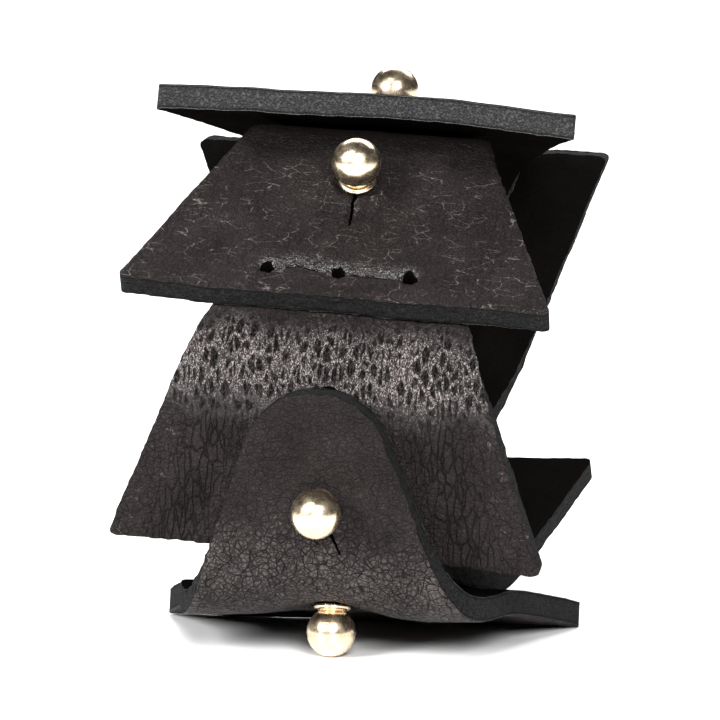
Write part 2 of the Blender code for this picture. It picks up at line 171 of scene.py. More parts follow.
def lay_out():
    """Paths, stud frames and places of the six links."""
    lines = {name: Line(Vector(point) * MM, heading) for name, (point, heading) in EDGES.items()}
    clasp = lines["lower_front"].offset(LAYER + CLASP_PLAY)
    inside = {"top": ("upper_back", KEYHOLE_AT), "upper_front": ("top", KEYHOLE_AT),
              "lower_front": ("upper_front", KEYHOLE_AT), "lower_back": ("base", BASE_KEYHOLE_AT),
              "upper_back": ("lower_back", ROW_AT)}
    clasp_tip = clasp.at(CLASP_AT + STUD_TO_TIP["base"] * MM)
    paths = {"base": Path(lines["base"], clasp, BENDS["base"], clasp_tip)}
    for name, (host, hole) in inside.items():
        second = lines[host].offset(-LAYER)
        paths[name] = Path(lines[name], second, BENDS[name], second.at(hole + STUD_TO_TIP[name] * MM))
    studs = {"base": stud_matrix(lines["base"], BASE_KEYHOLE_AT),
             "lower_back": stud_matrix(lines["lower_back"], ROW_AT),
             "upper_back": stud_matrix(lines["upper_back"], KEYHOLE_AT),
             "top": stud_matrix(lines["top"], KEYHOLE_AT),
             "upper_front": stud_matrix(lines["upper_front"], KEYHOLE_AT),
             "clasp": stud_matrix(lines["lower_front"], CLASP_AT, LAYER + CLASP_PLAY / 2)}
    middle = Matrix.Translation((0.0, lines["base"].point.x, 0.0))
    yaw = Matrix.Rotation(math.radians(BASE_YAW), 4, "Z")
    places = {"base": Matrix.Translation(Vector(RING_SHIFT) * MM) @ middle @ yaw @ middle.inverted()}
    places["lower_back"] = places["base"] @ swivel(studs["base"], SWIVELS["lower_back"])
    places["upper_back"] = places["lower_back"] @ swivel(studs["lower_back"], SWIVELS["upper_back"])
    places["top"] = places["upper_back"] @ swivel(studs["upper_back"], SWIVELS["top"])
    places["upper_front_tongue"] = places["top"] @ swivel(studs["top"], SWIVELS["upper_front"])
    path = paths["upper_front"]
    point, heading, _ = path.frames([(path.bend_from + path.bend_to) / 2])
    spot = Matrix.Translation((0.0, point[0, 0], point[0, 1]))
    turn = Matrix.Rotation(math.radians(UPPER_FRONT_TWIST), 4, Vector((0.0, heading[0, 0], heading[0, 1])))
    places["upper_front"] = places["upper_front_tongue"] @ spot @ turn @ spot.inverted()
    places["lower_front"] = places["upper_front"] @ swivel(studs["upper_front"], SWIVELS["lower_front"])
    return paths, studs, places


# ---- Noise for the shapes ----------------------------------------------------------------------
def hashed(cell, seed):
    """A fixed random value from -1 to 1 for each whole-numbered cell."""
    n = (cell[:, 0] * 73856093) ^ (cell[:, 1] * 19349663) ^ (cell[:, 2] * 83492791) ^ (seed * 2654435)
    n = (n ^ (n >> 13)) * 1274126177
    return ((n ^ (n >> 16)) & 0xFFFF) / 32767.5 - 1.0


def noise(p, size, seed=0):
    """Smooth noise from -1 to 1 at points p, with features of a given size."""
    q = np.asarray(p, float) / size
    base = np.floor(q).astype(np.int64)
    f = q - base
    f = f * f * (3 - 2 * f)
    total = np.zeros(len(q))
    for dx in (0, 1):
        for dy in (0, 1):
            for dz in (0, 1):
                weight = np.abs(1 - dx - f[:, 0]) * np.abs(1 - dy - f[:, 1]) * np.abs(1 - dz - f[:, 2])
                total += weight * hashed(base + np.array((dx, dy, dz)), seed)
    return total


def step(low, high, value):
    """Rises smoothly from 0 at low to 1 at high, which may be the smaller one."""
    t = np.clip((value - low) / (high - low), 0.0, 1.0)
    return t * t * (3 - 2 * t)


def hump(value, centre, width):
    """1 at the centre, falling off to both sides."""
    return np.exp(-((value - centre) / width) ** 2)


# ---- One link's leather, laid flat ------------------------------------------------------------
RIM = np.array((0.0, 0.12, 0.28, 0.55)) * MM  # mesh lines close to a cut edge
CELL = 0.5 * MM
LEVELS = 8  # mesh rows up the cut edge
TIP_ANGLES = np.append(np.arange(23.0, 89.5, 3.0), 89.2)  # mesh rows round the tip, in degrees
NARROW = 4 * MM  # half width under which the mesh lines move closer together
CORNER_REACH = 1.6 * CORNER_RADIUS
CUTTER_LEVELS = 6
CUTTER_REACH = 1.56  # in half thicknesses of the leather


def side_end(length):
    return length - TIP_RADIUS * (1 - math.sin(SIDE_ANGLE))


def half_width(s, length):
    """Half the width of the flat pattern."""
    end = side_end(length)
    straight = HALF_WIDE + (TIP_RADIUS * math.cos(SIDE_ANGLE) - HALF_WIDE) * s / end
    over = np.clip(s - (length - TIP_RADIUS), 0.0, TIP_RADIUS)
    return np.where(s <= end, straight, np.sqrt(np.maximum(TIP_RADIUS**2 - over**2, 0.0)))


def rim_distance(x, s, length):
    """Distance from the outline of the flat pattern, to the inside."""
    slope = (HALF_WIDE - TIP_RADIUS * math.cos(SIDE_ANGLE)) / side_end(length)
    side = (half_width(s, length) - np.abs(x)) / math.hypot(1.0, slope)
    tip = TIP_RADIUS - np.hypot(x, s - (length - TIP_RADIUS))
    return np.where(s > side_end(length), np.minimum(tip, length - s), np.minimum(side, s))


def pattern_grid(length):
    """Rows of points that fill the outline of the flat pattern, as arrays X and Y."""
    end = side_end(length)
    count = int(round((end - RIM[-1]) / CELL))
    round_tip = length - TIP_RADIUS * (1 - np.sin(np.radians(TIP_ANGLES)))
    rows = np.concatenate([RIM[:-1], np.linspace(RIM[-1], end, count), round_tip])
    half = half_width(rows, length)
    shrink = np.minimum(1.0, half / NARROW)
    inner = half[:, None] - RIM[-1] * shrink[:, None]
    across = int(round(2 * (HALF_WIDE - RIM[-1]) / CELL))
    middle = np.linspace(-1, 1, across)[None, :] * inner
    rim = half[:, None] - RIM[None, :-1] * shrink[:, None]
    x = np.concatenate([-rim, middle, rim[:, ::-1]], 1)
    s = np.repeat(rows[:, None], x.shape[1], 1)
    # round the two corners of the wide edge
    a = np.clip(1 - (half[:, None] - np.abs(x)) / CORNER_REACH, 0.0, 1.0)
    b = np.clip(1 - s / CORNER_REACH, 0.0, 1.0)
    x = np.sign(x) * (np.abs(x) - CORNER_REACH * (a - a * np.sqrt(1 - 0.5 * b * b)))
    s = s + CORNER_REACH * (b - b * np.sqrt(1 - 0.5 * a * a))
    return x, s


def flat_sheet(name, length):
    """A closed slab in the flat pattern's outline: X across, Y along, Z through the leather."""
    x, s = pattern_grid(length)
    m, n = x.shape
    top = np.stack([x, s, np.full_like(x, THICK / 2)], -1).reshape(-1, 3)
    bottom = top * (1, 1, -1)
    loop = ([(0, j) for j in range(n)] + [(i, n - 1) for i in range(1, m)]
            + [(m - 1, j) for j in range(n - 2, -1, -1)] + [(i, 0) for i in range(m - 2, 0, -1)])
    loop = np.array([i * n + j for i, j in loop])
    points = [top, bottom]
    rings = [loop]
    for k in range(1, LEVELS):
        rings.append(2 * m * n + (k - 1) * len(loop) + np.arange(len(loop)))
        level = top[loop].copy()
        level[:, 2] = THICK / 2 - THICK * k / LEVELS
        points.append(level)
    rings.append(loop + m * n)
    i, j = np.meshgrid(np.arange(m - 1), np.arange(n - 1), indexing="ij")
    first = (i * n + j).ravel()
    up = np.stack([first, first + 1, first + n + 1, first + n], 1)
    down = up[:, ::-1] + m * n
    walls = []
    for high, low in zip(rings, rings[1:]):
        walls.append(np.stack([high, low, np.roll(low, -1), np.roll(high, -1)], 1))
    faces = np.concatenate([up, down] + walls)
    mesh = bpy.data.meshes.new(name)
    mesh.from_pydata(np.concatenate(points).tolist(), [], faces.tolist())
    return mesh


def prism(outline, name):
    """A cutter: a polygon in the flat pattern, extruded right through the leather."""
    count = len(outline)
    last = CUTTER_LEVELS * count
    points = []
    for k in range(CUTTER_LEVELS + 1):
        z = CUTTER_REACH * (1 - 2 * k / CUTTER_LEVELS) * THICK / 2
        points += [(x, s, z) for x, s in outline]
    faces = [tuple(range(count)), tuple(range(last + count - 1, last - 1, -1))]
    for k in range(CUTTER_LEVELS):
        for i in range(count):
            j = (i + 1) % count
            faces.append((k * count + j, k * count + i, (k + 1) * count + i, (k + 1) * count + j))
    mesh = bpy.data.meshes.new(name)
    mesh.from_pydata(points, [], faces)
    item = bpy.data.objects.new(name, mesh)
    bpy.context.scene.collection.objects.link(item)
    return item


def circle(x, s, radius, count=40, wobble=0.0):
    """The outline of a punched hole, which may be a little out of round."""
    points = []
    for i in range(count):
        angle = 2 * math.pi * i / count
        r = radius * (1 + wobble * math.sin(3 * angle + x / MM) + wobble * math.sin(5 * angle + 1.3))
        points.append((x + r * math.cos(angle), s + r * math.sin(angle)))
    return points


def ribbon(line, width):
    """A thin closed outline round a line of points; width is a function of the share along it."""
    line = np.array(line)
    tangent = np.gradient(line, axis=0)
    tangent /= np.linalg.norm(tangent, axis=1)[:, None]
    normal = np.stack([-tangent[:, 1], tangent[:, 0]], 1)
    half = np.array([width(t) / 2 for t in np.linspace(0, 1, len(line))])[:, None]
    ring = np.concatenate([line - normal * half, (line + normal * half)[::-1]])
    return [tuple(p) for p in ring]


def keyhole_cutters(name, x, at, slit_length, hole_radius, lean=0.0):
    """A round button hole with a knife slit towards the wide edge."""
    slit = [(x + lean * t * slit_length, at - t * slit_length) for t in np.linspace(0.15, 1, 14)]
    wobble = [(a + 0.05 * MM * math.sin(9 * k), b) for k, (a, b) in enumerate(slit)]
    return [prism(circle(x, at, hole_radius), name + "_hole"),
            prism(ribbon(wobble, lambda t: (0.55 - 0.30 * t) * MM), name + "_slit")]


def row_line(x):
    """The knife slit that joins the three holes wanders: it arches, then runs below the holes."""
    u = x / ROW_PITCH
    return ROW_AT + (-0.35 + 0.62 * np.exp(-((u + 0.58) / 0.22) ** 2) - 0.10 * np.sin(3 * u)) * MM


def row_cutters(name, middle_radius):
    """Three punched holes and the slit between them."""
    line = [(x, row_line(x)) for x in np.linspace(-ROW_PITCH, ROW_PITCH, 60)]

    def width(t):
        return (0.22 + 0.30 * abs(math.sin(2 * math.pi * t))) * MM

    tools = [prism(ribbon(line, width), name + "_slit")]
    holes = ((-ROW_PITCH, ROW_HOLE_LEFT), (0.0, middle_radius), (ROW_PITCH, ROW_HOLE_RIGHT))
    for x, radius in holes:
        tools.append(prism(circle(x, ROW_AT, radius, 28, 0.07), f"{name}_{round(x / MM)}"))
    return tools


def carve(mesh, tools):
    """Takes the cutters out of the slab and removes them."""
    item = bpy.data.objects.new("slab", mesh)
    bpy.context.scene.collection.objects.link(item)
    for tool in tools:
        boolean = item.modifiers.new(tool.name, "BOOLEAN")
        boolean.operation = "DIFFERENCE"
        boolean.solver = "MANIFOLD"
        boolean.object = tool
    bpy.context.view_layer.update()
    depsgraph = bpy.context.evaluated_depsgraph_get()
    result = bpy.data.meshes.new_from_object(item.evaluated_get(depsgraph))
    for tool in tools + [item]:
        bpy.data.objects.remove(tool, do_unlink=True)
    return result


# ---- How each link's leather departs from the plain pattern ------------------------------------
def keyhole_pucker(x, s, at, slit_length, rise=0.85):
    """Leather pushed up round a stud's neck, highest beside the slit, whose lips turn down."""
    r = np.hypot(x, s - at) / MM
    wall = rise * np.exp(-((r - 3.3) / 0.85) ** 2) * (0.55 + 0.45 * step(1.5 * MM, -2.5 * MM, s - at))
    collar = 0.30 * step(3.4, 2.0, r)
    along = step(at - slit_length - 1.0 * MM, at - slit_length + 1.5 * MM, s) * step(at, at - 1.5 * MM, s)
    lips = 0.32 * hump(np.abs(x), 0.9 * MM, 0.5 * MM) - 0.20 * hump(x, 0.0, 0.30 * MM)
    return np.maximum(wall, collar) * MM + along * lips * MM


def row_pucker(x, s, strength=1.0):
    """Beyond the slit between the holes the leather rolls down into it; before it a lip stands up."""
    u = (s - row_line(np.clip(x, -ROW_PITCH, ROW_PITCH))) / MM
    inside = step(ROW_PITCH + 2.2 * MM, ROW_PITCH - 0.2 * MM, np.abs(x))
    wave = 0.75 + 0.25 * np.cos(x / ROW_PITCH * 4 * math.pi + 0.6) + 0.18 * np.sin(x / MM * 2.3)
    roll = 0.55 * np.exp(-((u - 1.5) / 0.85) ** 2) - 0.50 * np.exp(-(np.maximum(u, 0) / 0.55) ** 2)
    folds = 0.09 * np.sin(x / MM * 6.0 + 1.5 * np.sin(x / MM)) * np.exp(-((u - 0.9) / 0.8) ** 2)
    lip = 0.16 * np.exp(-((u + 0.5) / 0.6) ** 2)
    dimples = np.zeros_like(x)
    for centre in (-ROW_PITCH, 0.0, ROW_PITCH):
        r = np.hypot(x - centre, s - ROW_AT) / MM
        dimples -= 0.40 * np.exp(-((r - 0.8) / 0.5) ** 2)
    return (np.where(u > 0, roll * wave + folds, lip) * inside + dimples) * strength * MM


def row_shine(x, s):
    """Where the leather round the row of holes is stretched and shiny, from 0 to 1."""
    u = (s - row_line(np.clip(x, -ROW_PITCH, ROW_PITCH))) / MM
    inside = step(ROW_PITCH + 2.0 * MM, ROW_PITCH, np.abs(x))
    return inside * step(-0.1, 0.2, u) * step(3.2, 1.6, u)


def beside_clasp(x, s):
    """Distance on the lower front link from the edge of the clasp tongue that lies on it."""
    return np.abs(x) - (CLASP_HALF_WIDTH + CLASP_WIDENING * np.maximum(CLASP_ROUND_FROM - s, 0.0))


# Each shape function returns two heights outward: the whole sheet's, and that of puckers, which are
# lower on the flesh side
def shape_top(x, s, path):
    w = 0.45 * (1 - (x / HALF_WIDE) ** 2) * step(16 * MM, 0.0, s)
    w -= 0.5 * step(10 * MM, 26 * MM, x) * step(15 * MM, 0.0, s)
    return w * MM, row_pucker(x, s, 0.6) + keyhole_pucker(x, s, KEYHOLE_AT, SLIT, 0.4)


def shape_upper_front(x, s, path):
    w = 0.30 * np.sin(x / HALF_WIDE * 2.2) * step(12 * MM, 0.0, s)
    w = w + 0.45 * step(-12 * MM, -26 * MM, x) * step(10 * MM, 0.0, s)
    return w * MM, row_pucker(x, s) + keyhole_pucker(x, s, KEYHOLE_AT, SLIT)


def shape_lower_front(x, s, path):
    w = -1.1 * step(10 * MM, 26 * MM, x) * step(20 * MM, 0.0, s)
    # pressed in along the edge of the clasp tongue that lies on it
    w -= 0.20 * hump(beside_clasp(x, s), 0.0, 1.6 * MM) * step(24 * MM, 18 * MM, s)
    return w * MM, 0.0


def shape_base(x, s, path):
    w = 0.3 * (1 - np.abs(x) / HALF_WIDE) * hump(s, 10 * MM, 9 * MM)
    # the bend hangs lower on both sides of the stud, which pulls the leather in
    r = np.hypot(x, s - BASE_KEYHOLE_AT)
    w += 2.4 * hump(s, path.bend_from + 0.5 * MM, 7.5 * MM) * (1 - hump(r, 0.0, 5 * MM))
    pucker = keyhole_pucker(x, s, BASE_KEYHOLE_AT, SLIT, 0.4)
    clasp_at = path.length - STUD_TO_TIP["base"] * MM
    return w * MM, pucker + keyhole_pucker(x - CLASP_OFFSET, s, clasp_at, CLASP_SLIT, 0.35)


def shape_lower_back(x, s, path):
    return 0.0, row_pucker(x, s, 0.5)


def shape_upper_back(x, s, path):
    w = 0.3 * np.sin(x / HALF_WIDE * 1.7 + 0.5) * step(14 * MM, 0.0, s)
    return w * MM, row_pucker(x, s, 0.8) + keyhole_pucker(x, s, KEYHOLE_AT, SLIT, 0.4)


SHAPES = {"top": shape_top, "upper_front": shape_upper_front, "lower_front": shape_lower_front,
          "base": shape_base, "lower_back": shape_lower_back, "upper_back": shape_upper_back}

# How deep the creases between the pebbles are, and how many light lines there are, from 0 to 1
CREASED = {"top": 0.30, "upper_front": 0.30, "lower_front": 0.60, "base": 0.35, "lower_back": 0.30,
           "upper_back": 0.30}
LINED = {"top": 1.0, "upper_front": 1.0, "lower_front": 0.45, "base": 0.20, "lower_back": 0.20,
         "upper_back": 0.20}
# How much darker than the top link's the cut edges are
EDGE_DARKENING = {"top": 0.0, "upper_front": 1.0, "lower_front": 1.0, "base": 0.6, "lower_back": 0.6,
        "upper_back": 0.6}
# How strongly the grain is crackled where a link is bent, and its gloss round the row of holes
CRACKLED = {"top": 1.0, "upper_front": 0.12, "lower_front": 1.0, "base": 0.05, "lower_back": 1.0,
            "upper_back": 1.0}
ROW_GLOSS = 0.45

# The leather's material slots
GRAIN = 0
FLESH = 1
CUT = 2


def link_cutters(name, path):
    if name == "base":
        clasp_at = path.length - STUD_TO_TIP["base"] * MM
        tools = keyhole_cutters("base_key", 0.0, BASE_KEYHOLE_AT, SLIT, NECK_HOLE)
        return tools + keyhole_cutters("clasp_key", CLASP_OFFSET, clasp_at, CLASP_SLIT, NECK_HOLE,
                                       CLASP_SLIT_LEAN)
    tools = keyhole_cutters(name + "_key", 0.0, KEYHOLE_AT, SLIT, NECK_HOLE)
    if name not in WITHOUT_ROW:
        # a stud goes through the middle hole of the lower back link's row
        tools += row_cutters(name + "_row", NECK_HOLE if name == "lower_back" else ROW_HOLE_MIDDLE)
    return tools


def vectors(items, key):
    """One vector for each vertex or face of a mesh, as rows."""
    values = np.empty(len(items) * 3)
    items.foreach_get(key, values)
    return values.reshape(-1, 3)


def face_kinds(mesh, length):
    """The material slot of each face; the walls of holes and slits count as flesh side."""
    facing = vectors(mesh.polygons, "normal")[:, 2]
    centres = vectors(mesh.polygons, "center")
    kinds = np.where(facing > 0.7, GRAIN, np.where(facing < -0.7, FLESH, CUT)).astype(np.int32)
    inner = rim_distance(centres[:, 0], centres[:, 1], length) > 0.8 * MM
    kinds[(kinds == CUT) & inner] = FLESH
    return kinds


def link_looks(name, path, x, s, ragged):
    """What the materials are told about each point, from 0 to 1, by attribute name."""
    torn = s + ragged
    fold = step(path.bend_from - 3 * MM, path.bend_from + 3 * MM, torn)
    fold *= step(path.bend_to + 2 * MM, path.bend_to - 3 * MM, torn)
    looks = {"fold": fold * CRACKLED[name], "stress_and_shade": 0.0, "creased": CREASED[name],
             "lined": LINED[name], "sheen": 0.0, "crest_shade": 0.0, "edge_darkening": EDGE_DARKENING[name]}
    if name == "base":
        worked = step(path.bend_to + 6 * MM, path.bend_to - 6 * MM, torn)
        looks["creased"] = np.maximum(CREASED[name], worked)
    if name == "lower_front":
        # beside the clasp tongue: real grooves in the shape and the grain, and painted shade in the colour
        beside = hump(beside_clasp(x, s), 2.5 * MM, 4.5 * MM)
        looks["stress_and_shade"] = beside * step(25 * MM, 16 * MM, s)
    # painted shade: the upper front link is darkened where it bends under the top link
    if name == "upper_front":
        looks["crest_shade"] = step(path.bend_from - 5 * MM, path.bend_from + 1 * MM, torn)
    if name not in WITHOUT_ROW:
        looks["sheen"] = ROW_GLOSS * row_shine(x, s)
    return {key: values + np.zeros(len(x)) for key, values in looks.items()}


def link_lift(name, path, tone, side, seed, looks):
    """How far outward each point of the leather stands from the plain bent sheet."""
    x, s, _ = tone.T
    broad, puckers = SHAPES[name](x, s, path)
    lift = broad + puckers * (0.65 + 0.35 * side)
    lift += 0.16 * MM * noise(tone, 9 * MM, seed) + 0.06 * MM * noise(tone, 3.5 * MM, seed + 1)
    # wrinkles across the bend and round the row of holes, on the grain side only
    stretched = tone * np.array((0.55, 1.0, 1.0))
    wrinkle = noise(stretched, 1.5 * MM, seed + 2) + 0.6 * noise(stretched, 0.8 * MM, seed + 3)
    wrinkled = np.maximum(looks["fold"], looks["sheen"])
    lift += np.where(side > 0, 0.085 * MM * wrinkle * wrinkled, 0.0)
    if name == "upper_front":
        rolls = noise(tone * np.array((0.30, 1.0, 1.0)), 1.1 * MM, seed + 11)
        over = step(path.bend_from - 5 * MM, path.bend_from, s)
        lift += np.where(side > 0, 0.09 * MM * rolls * over, 0.0)
    # short grooves where the leather is drawn along beside the clasp
    leaning = tone * np.array((1.0, 0.30, 1.0)) + 0.25 * tone[:, [1, 0, 2]]
    runs = step(0.05, 0.55, noise(leaning, 1.5 * MM, seed + 8))
    lift += np.where(side > 0, -0.16 * MM * looks["stress_and_shade"] * runs, 0.0)
    # the fine surface of the grain side and of the flesh side
    lift += np.where(side > 0.5, 0.018 * MM * noise(tone, 1.1 * MM, seed + 4), 0.0)
    lift += np.where(side < -0.5, 0.05 * MM * noise(tone, 1.0 * MM, seed + 5), 0.0)
    return lift


def edge_pull(flat, tone, side, length, seed):
    """How the fibres of a cut edge are pulled in and out of the cut, as columns X and Y."""
    grainy = flat * np.array((1.0, 1.0, 3.2))
    pull = 0.18 * noise(grainy, 0.9 * MM, seed + 6) + 0.14 * noise(grainy, 0.45 * MM, seed + 7)
    pull += 0.15 * noise(tone, 5 * MM, seed + 10)
    pull -= 0.06 * (1 - side**2)
    direction = np.stack([tone[:, 0], tone[:, 1] - 0.45 * length], 1)
    direction /= np.linalg.norm(direction, axis=1)[:, None] + 1e-9
    return pull[:, None] * MM * direction


def in_ring(name, path, places, x, s, height):
    """Points of the flat pattern, bent along the link's path and put at its place in the ring."""
    point, _, outward = path.frames(s)
    spot = point + outward * height[:, None]
    local = np.stack([x, spot[:, 0], spot[:, 1], np.ones(len(x))], 1)
    panel = local @ np.array(places[name]).T
    tongue = local @ np.array(places.get(name + "_tongue", places[name])).T
    share = step(path.bend_from, path.bend_to, s)[:, None]
    return (panel * (1 - share) + tongue * share)[:, :3]


def bend_link(name, path, places, seed):
    """The finished leather of one link."""
    mesh = carve(flat_sheet(name + "_leather", path.length), link_cutters(name, path))
    mesh.materials.clear()
    kinds = face_kinds(mesh, path.length)
    flat = vectors(mesh.vertices, "co")
    tone = flat * np.array((1.0, 1.0, 0.0))
    x, s, z = flat.T
    side = z / (THICK / 2)
    depth = rim_distance(x, s, path.length)
    # the arrises are a little rounded, more on the grain side
    rim = np.clip(1 - depth / (0.5 * MM), 0, 1)
    z = z - np.where(side > 0.95, 0.20, np.where(side < -0.95, -0.12, 0.0)) * MM * rim**2

    looks = link_looks(name, path, x, s, 1.5 * MM * noise(tone, 4 * MM, seed + 9))
    lift = link_lift(name, path, tone, side, seed, looks)
    on_cut = (depth < 0.02 * MM)[:, None]
    pull = np.where(on_cut, edge_pull(flat, tone, side, path.length, seed), 0.0)
    x = x + pull[:, 0]
    s = s + pull[:, 1]
    if name == "base":
        # spread to both sides where it is bent
        x = x * (1 + 0.09 * hump(s, path.bend_from - 2 * MM, 8 * MM))
    if name == "lower_front":
        # the wide edge reaches further at one end
        s = s - 1.6 * MM * step(6 * MM, 26 * MM, x) * step(22 * MM, 0.0, s)

    mesh.vertices.foreach_set("co", in_ring(name, path, places, x, s, z + lift).ravel())
    attribute = mesh.attributes.new("flat", "FLOAT_VECTOR", "POINT")
    attribute.data.foreach_set("vector", (flat / MM).ravel())
    for key, values in looks.items():
        attribute = mesh.attributes.new(key, "FLOAT", "POINT")
        attribute.data.foreach_set("value", values)
    mesh.polygons.foreach_set("material_index", kinds)
    mesh.polygons.foreach_set("use_smooth", np.ones(len(mesh.polygons), bool))
    mesh.update()
    mesh.set_sharp_from_angle(angle=math.radians(48))
    item = bpy.data.objects.new(name + "_leather", mesh)
    bpy.context.scene.collection.objects.link(item)
    return item


# ---- Studs -------------------------------------------------------------------------------------
def turned(name, profile, steps=72):
    """A round solid from (radius, height) points, spun about Z."""
    profile = np.array(profile) * MM
    angles = np.linspace(0, 2 * math.pi, steps, endpoint=False)
    points, rings = [], []
    for r, h in profile:
        if r < 1e-7:
            rings.append([len(points)] * steps)
            points.append((0.0, 0.0, h))
        else:
            rings.append(list(range(len(points), len(points) + steps)))
            points += [(r * math.cos(a), r * math.sin(a), h) for a in angles]
    faces = []
    for upper, lower in zip(rings, rings[1:]):
        for i in range(steps):
            j = (i + 1) % steps
            face = [upper[i], lower[i], lower[j], upper[j]]
            faces.append(tuple(dict.fromkeys(face)))
    mesh = bpy.data.meshes.new(name)
    mesh.from_pydata(points, [], faces)
    mesh.shade_smooth()
    mesh.set_sharp_from_angle(angle=math.radians(50))
    return mesh


BALL_RADIUS = 3.0  # this and the rest of a stud's sizes in mm
THREAD_RADII = (0.78, 0.9)
THREAD_POINTS = 25
SLOT_LENGTH = 6.4
SLOT_WIDTH = 0.8
SLOT_DEPTH = 0.44


def stud_head_profile():
    """Ball, groove, trumpet-shaped collar, neck, foot and bore, in mm."""
    ball = []
    height = BALL_HEIGHT / MM
    for a in np.radians(np.linspace(0, 144, 34)):
        ball.append((BALL_RADIUS * math.sin(a), height + BALL_RADIUS * math.cos(a)))
    return ball + [
        (1.66, 3.12), (1.62, 3.02), (1.66, 2.93), (1.95, 2.88), (2.16, 2.80), (2.28, 2.66), (2.30, 2.50),
        (2.26, 2.34), (2.10, 2.22), (1.80, 2.12), (1.56, 2.02), (1.50, 1.85), (1.50, 0.6), (1.50, -2.0),
        (1.58, -2.1), (2.40, -2.1), (2.50, -2.18), (2.50, -2.72), (2.40, -2.8), (1.25, -2.8), (1.2, -2.7),
        (1.2, 0.55), (1.1, 0.6), (0.0, 0.6)]


def stud_screw(name):
    """A flat slotted head and a threaded shank."""
    top = -(THICK / 2 + LAYER + 0.3 * MM) / MM
    shank = [(0.0, 0.2), (0.75, 0.2), (0.9, 0.05)]
    for k, share in enumerate(np.linspace(0, 1, THREAD_POINTS)):
        shank.append((THREAD_RADII[k % 2], (top + 0.3) * share))
    face = top - 0.94
    head = [(0.9, top), (2.5, top), (2.6, top - 0.1), (2.6, top - 0.62), (2.52, top - 0.78),
            (2.34, top - 0.9), (1.2, face + 0.01), (0.0, face)]
    mesh = turned(name, shank + head, 64)
    item = bpy.data.objects.new(name, mesh)
    bpy.context.scene.collection.objects.link(item)

    a, b = SLOT_LENGTH / 2, SLOT_WIDTH / 2
    corners = [(-a, -b), (a, -b), (a, b), (-a, b)]
    levels = (face + SLOT_DEPTH, face - 0.61)
    points = [(x * MM, y * MM, h * MM) for h in levels for x, y in corners]
    faces = [(3, 2, 1, 0), (4, 5, 6, 7)] + [(i, (i + 1) % 4, (i + 1) % 4 + 4, i + 4) for i in range(4)]
    cut = bpy.data.meshes.new("slot")
    cut.from_pydata(points, [], faces)
    tool = bpy.data.objects.new("slot", cut)
    bpy.context.scene.collection.objects.link(tool)
    boolean = item.modifiers.new("slot", "BOOLEAN")
    boolean.operation = "DIFFERENCE"
    boolean.solver = "EXACT"
    boolean.object = tool
    bpy.context.view_layer.update()
    result = bpy.data.meshes.new_from_object(item.evaluated_get(bpy.context.evaluated_depsgraph_get()))
    result.shade_smooth()
    result.set_sharp_from_angle(angle=math.radians(35))
    bpy.data.objects.remove(tool, do_unlink=True)
    bpy.data.objects.remove(item, do_unlink=True)
    return result


# ---- Materials ---------------------------------------------------------------------------------
class Nodes:
    """Short helpers to build a node tree."""

    def __init__(self, name):
        self.material = bpy.data.materials.new(name)
        self.material.use_nodes = True
        self.tree = self.material.node_tree
        self.shader = self.tree.nodes["Principled BSDF"]

    def add(self, kind, **settings):
        node = self.tree.nodes.new(kind)
        for key, value in settings.items():
            setattr(node, key, value)
        return node

    def put(self, socket, value):
        if isinstance(value, bpy.types.NodeSocket):
            self.tree.links.new(value, socket)
        else:
            socket.default_value = value

    def maths(self, operation, a, b=0.0, c=0.0):
        node = self.add("ShaderNodeMath", operation=operation)
        for socket, value in zip(node.inputs, (a, b, c)):
            self.put(socket, value)
        return node.outputs[0]

    def attribute(self, name, output):
        return self.add("ShaderNodeAttribute", attribute_name=name).outputs[output]

    def scaled(self, vector, scale):
        node = self.add("ShaderNodeVectorMath", operation="MULTIPLY")
        self.put(node.inputs[0], vector)
        node.inputs[1].default_value = scale
        return node.outputs[0]

    def noise(self, vector, scale, detail=2.0, rough=0.5, output="Fac"):
        node = self.add("ShaderNodeTexNoise")
        self.put(node.inputs["Vector"], vector)
        node.inputs["Scale"].default_value = scale
        node.inputs["Detail"].default_value = detail
        node.inputs["Roughness"].default_value = rough
        return node.outputs[output]

    def cells(self, vector, scale, randomness=1.0, feature="DISTANCE_TO_EDGE"):
        node = self.add("ShaderNodeTexVoronoi", feature=feature)
        self.put(node.inputs["Vector"], vector)
        node.inputs["Scale"].default_value = scale
        node.inputs["Randomness"].default_value = randomness
        return node.outputs["Distance"]

    def warp(self, vector, scale, amount, detail=2.0):
        """The vector pushed about by noise."""
        colour = self.noise(vector, scale, detail, 0.5, "Color")
        centred = self.add("ShaderNodeVectorMath", operation="SUBTRACT")
        self.put(centred.inputs[0], colour)
        centred.inputs[1].default_value = (0.5, 0.5, 0.5)
        node = self.add("ShaderNodeVectorMath", operation="MULTIPLY_ADD")
        self.put(node.inputs[0], centred.outputs[0])
        node.inputs[1].default_value = (amount, amount, amount)
        self.put(node.inputs[2], vector)
        return node.outputs[0]

    def ramp(self, value, low, high, to_low=0.0, to_high=1.0):
        node = self.add("ShaderNodeMapRange", interpolation_type="SMOOTHSTEP")
        self.put(node.inputs["Value"], value)
        for key, number in (("From Min", low), ("From Max", high), ("To Min", to_low), ("To Max", to_high)):
            node.inputs[key].default_value = number
        return node.outputs["Result"]

    def blend(self, share, a, b):
        node = self.add("ShaderNodeMix", data_type="FLOAT")
        self.put(node.inputs[0], share)
        self.put(node.inputs[2], a)
        self.put(node.inputs[3], b)
        return node.outputs[0]

    def colours(self, share, stops):
        node = self.add("ShaderNodeValToRGB")
        self.put(node.inputs[0], share)
        band = node.color_ramp.elements
        while len(band) < len(stops):
            band.new(0.5)
        for element, (position, colour) in zip(band, stops):
            element.position = position
            element.color = (*colour, 1.0)
        return node.outputs["Color"]

    def bump(self, height, distance, strength=1.0, normal=None):
        node = self.add("ShaderNodeBump")
        self.put(node.inputs["Height"], height)
        node.inputs["Distance"].default_value = distance
        node.inputs["Strength"].default_value = strength
        if normal is not None:
            self.put(node.inputs["Normal"], normal)
        return node.outputs["Normal"]
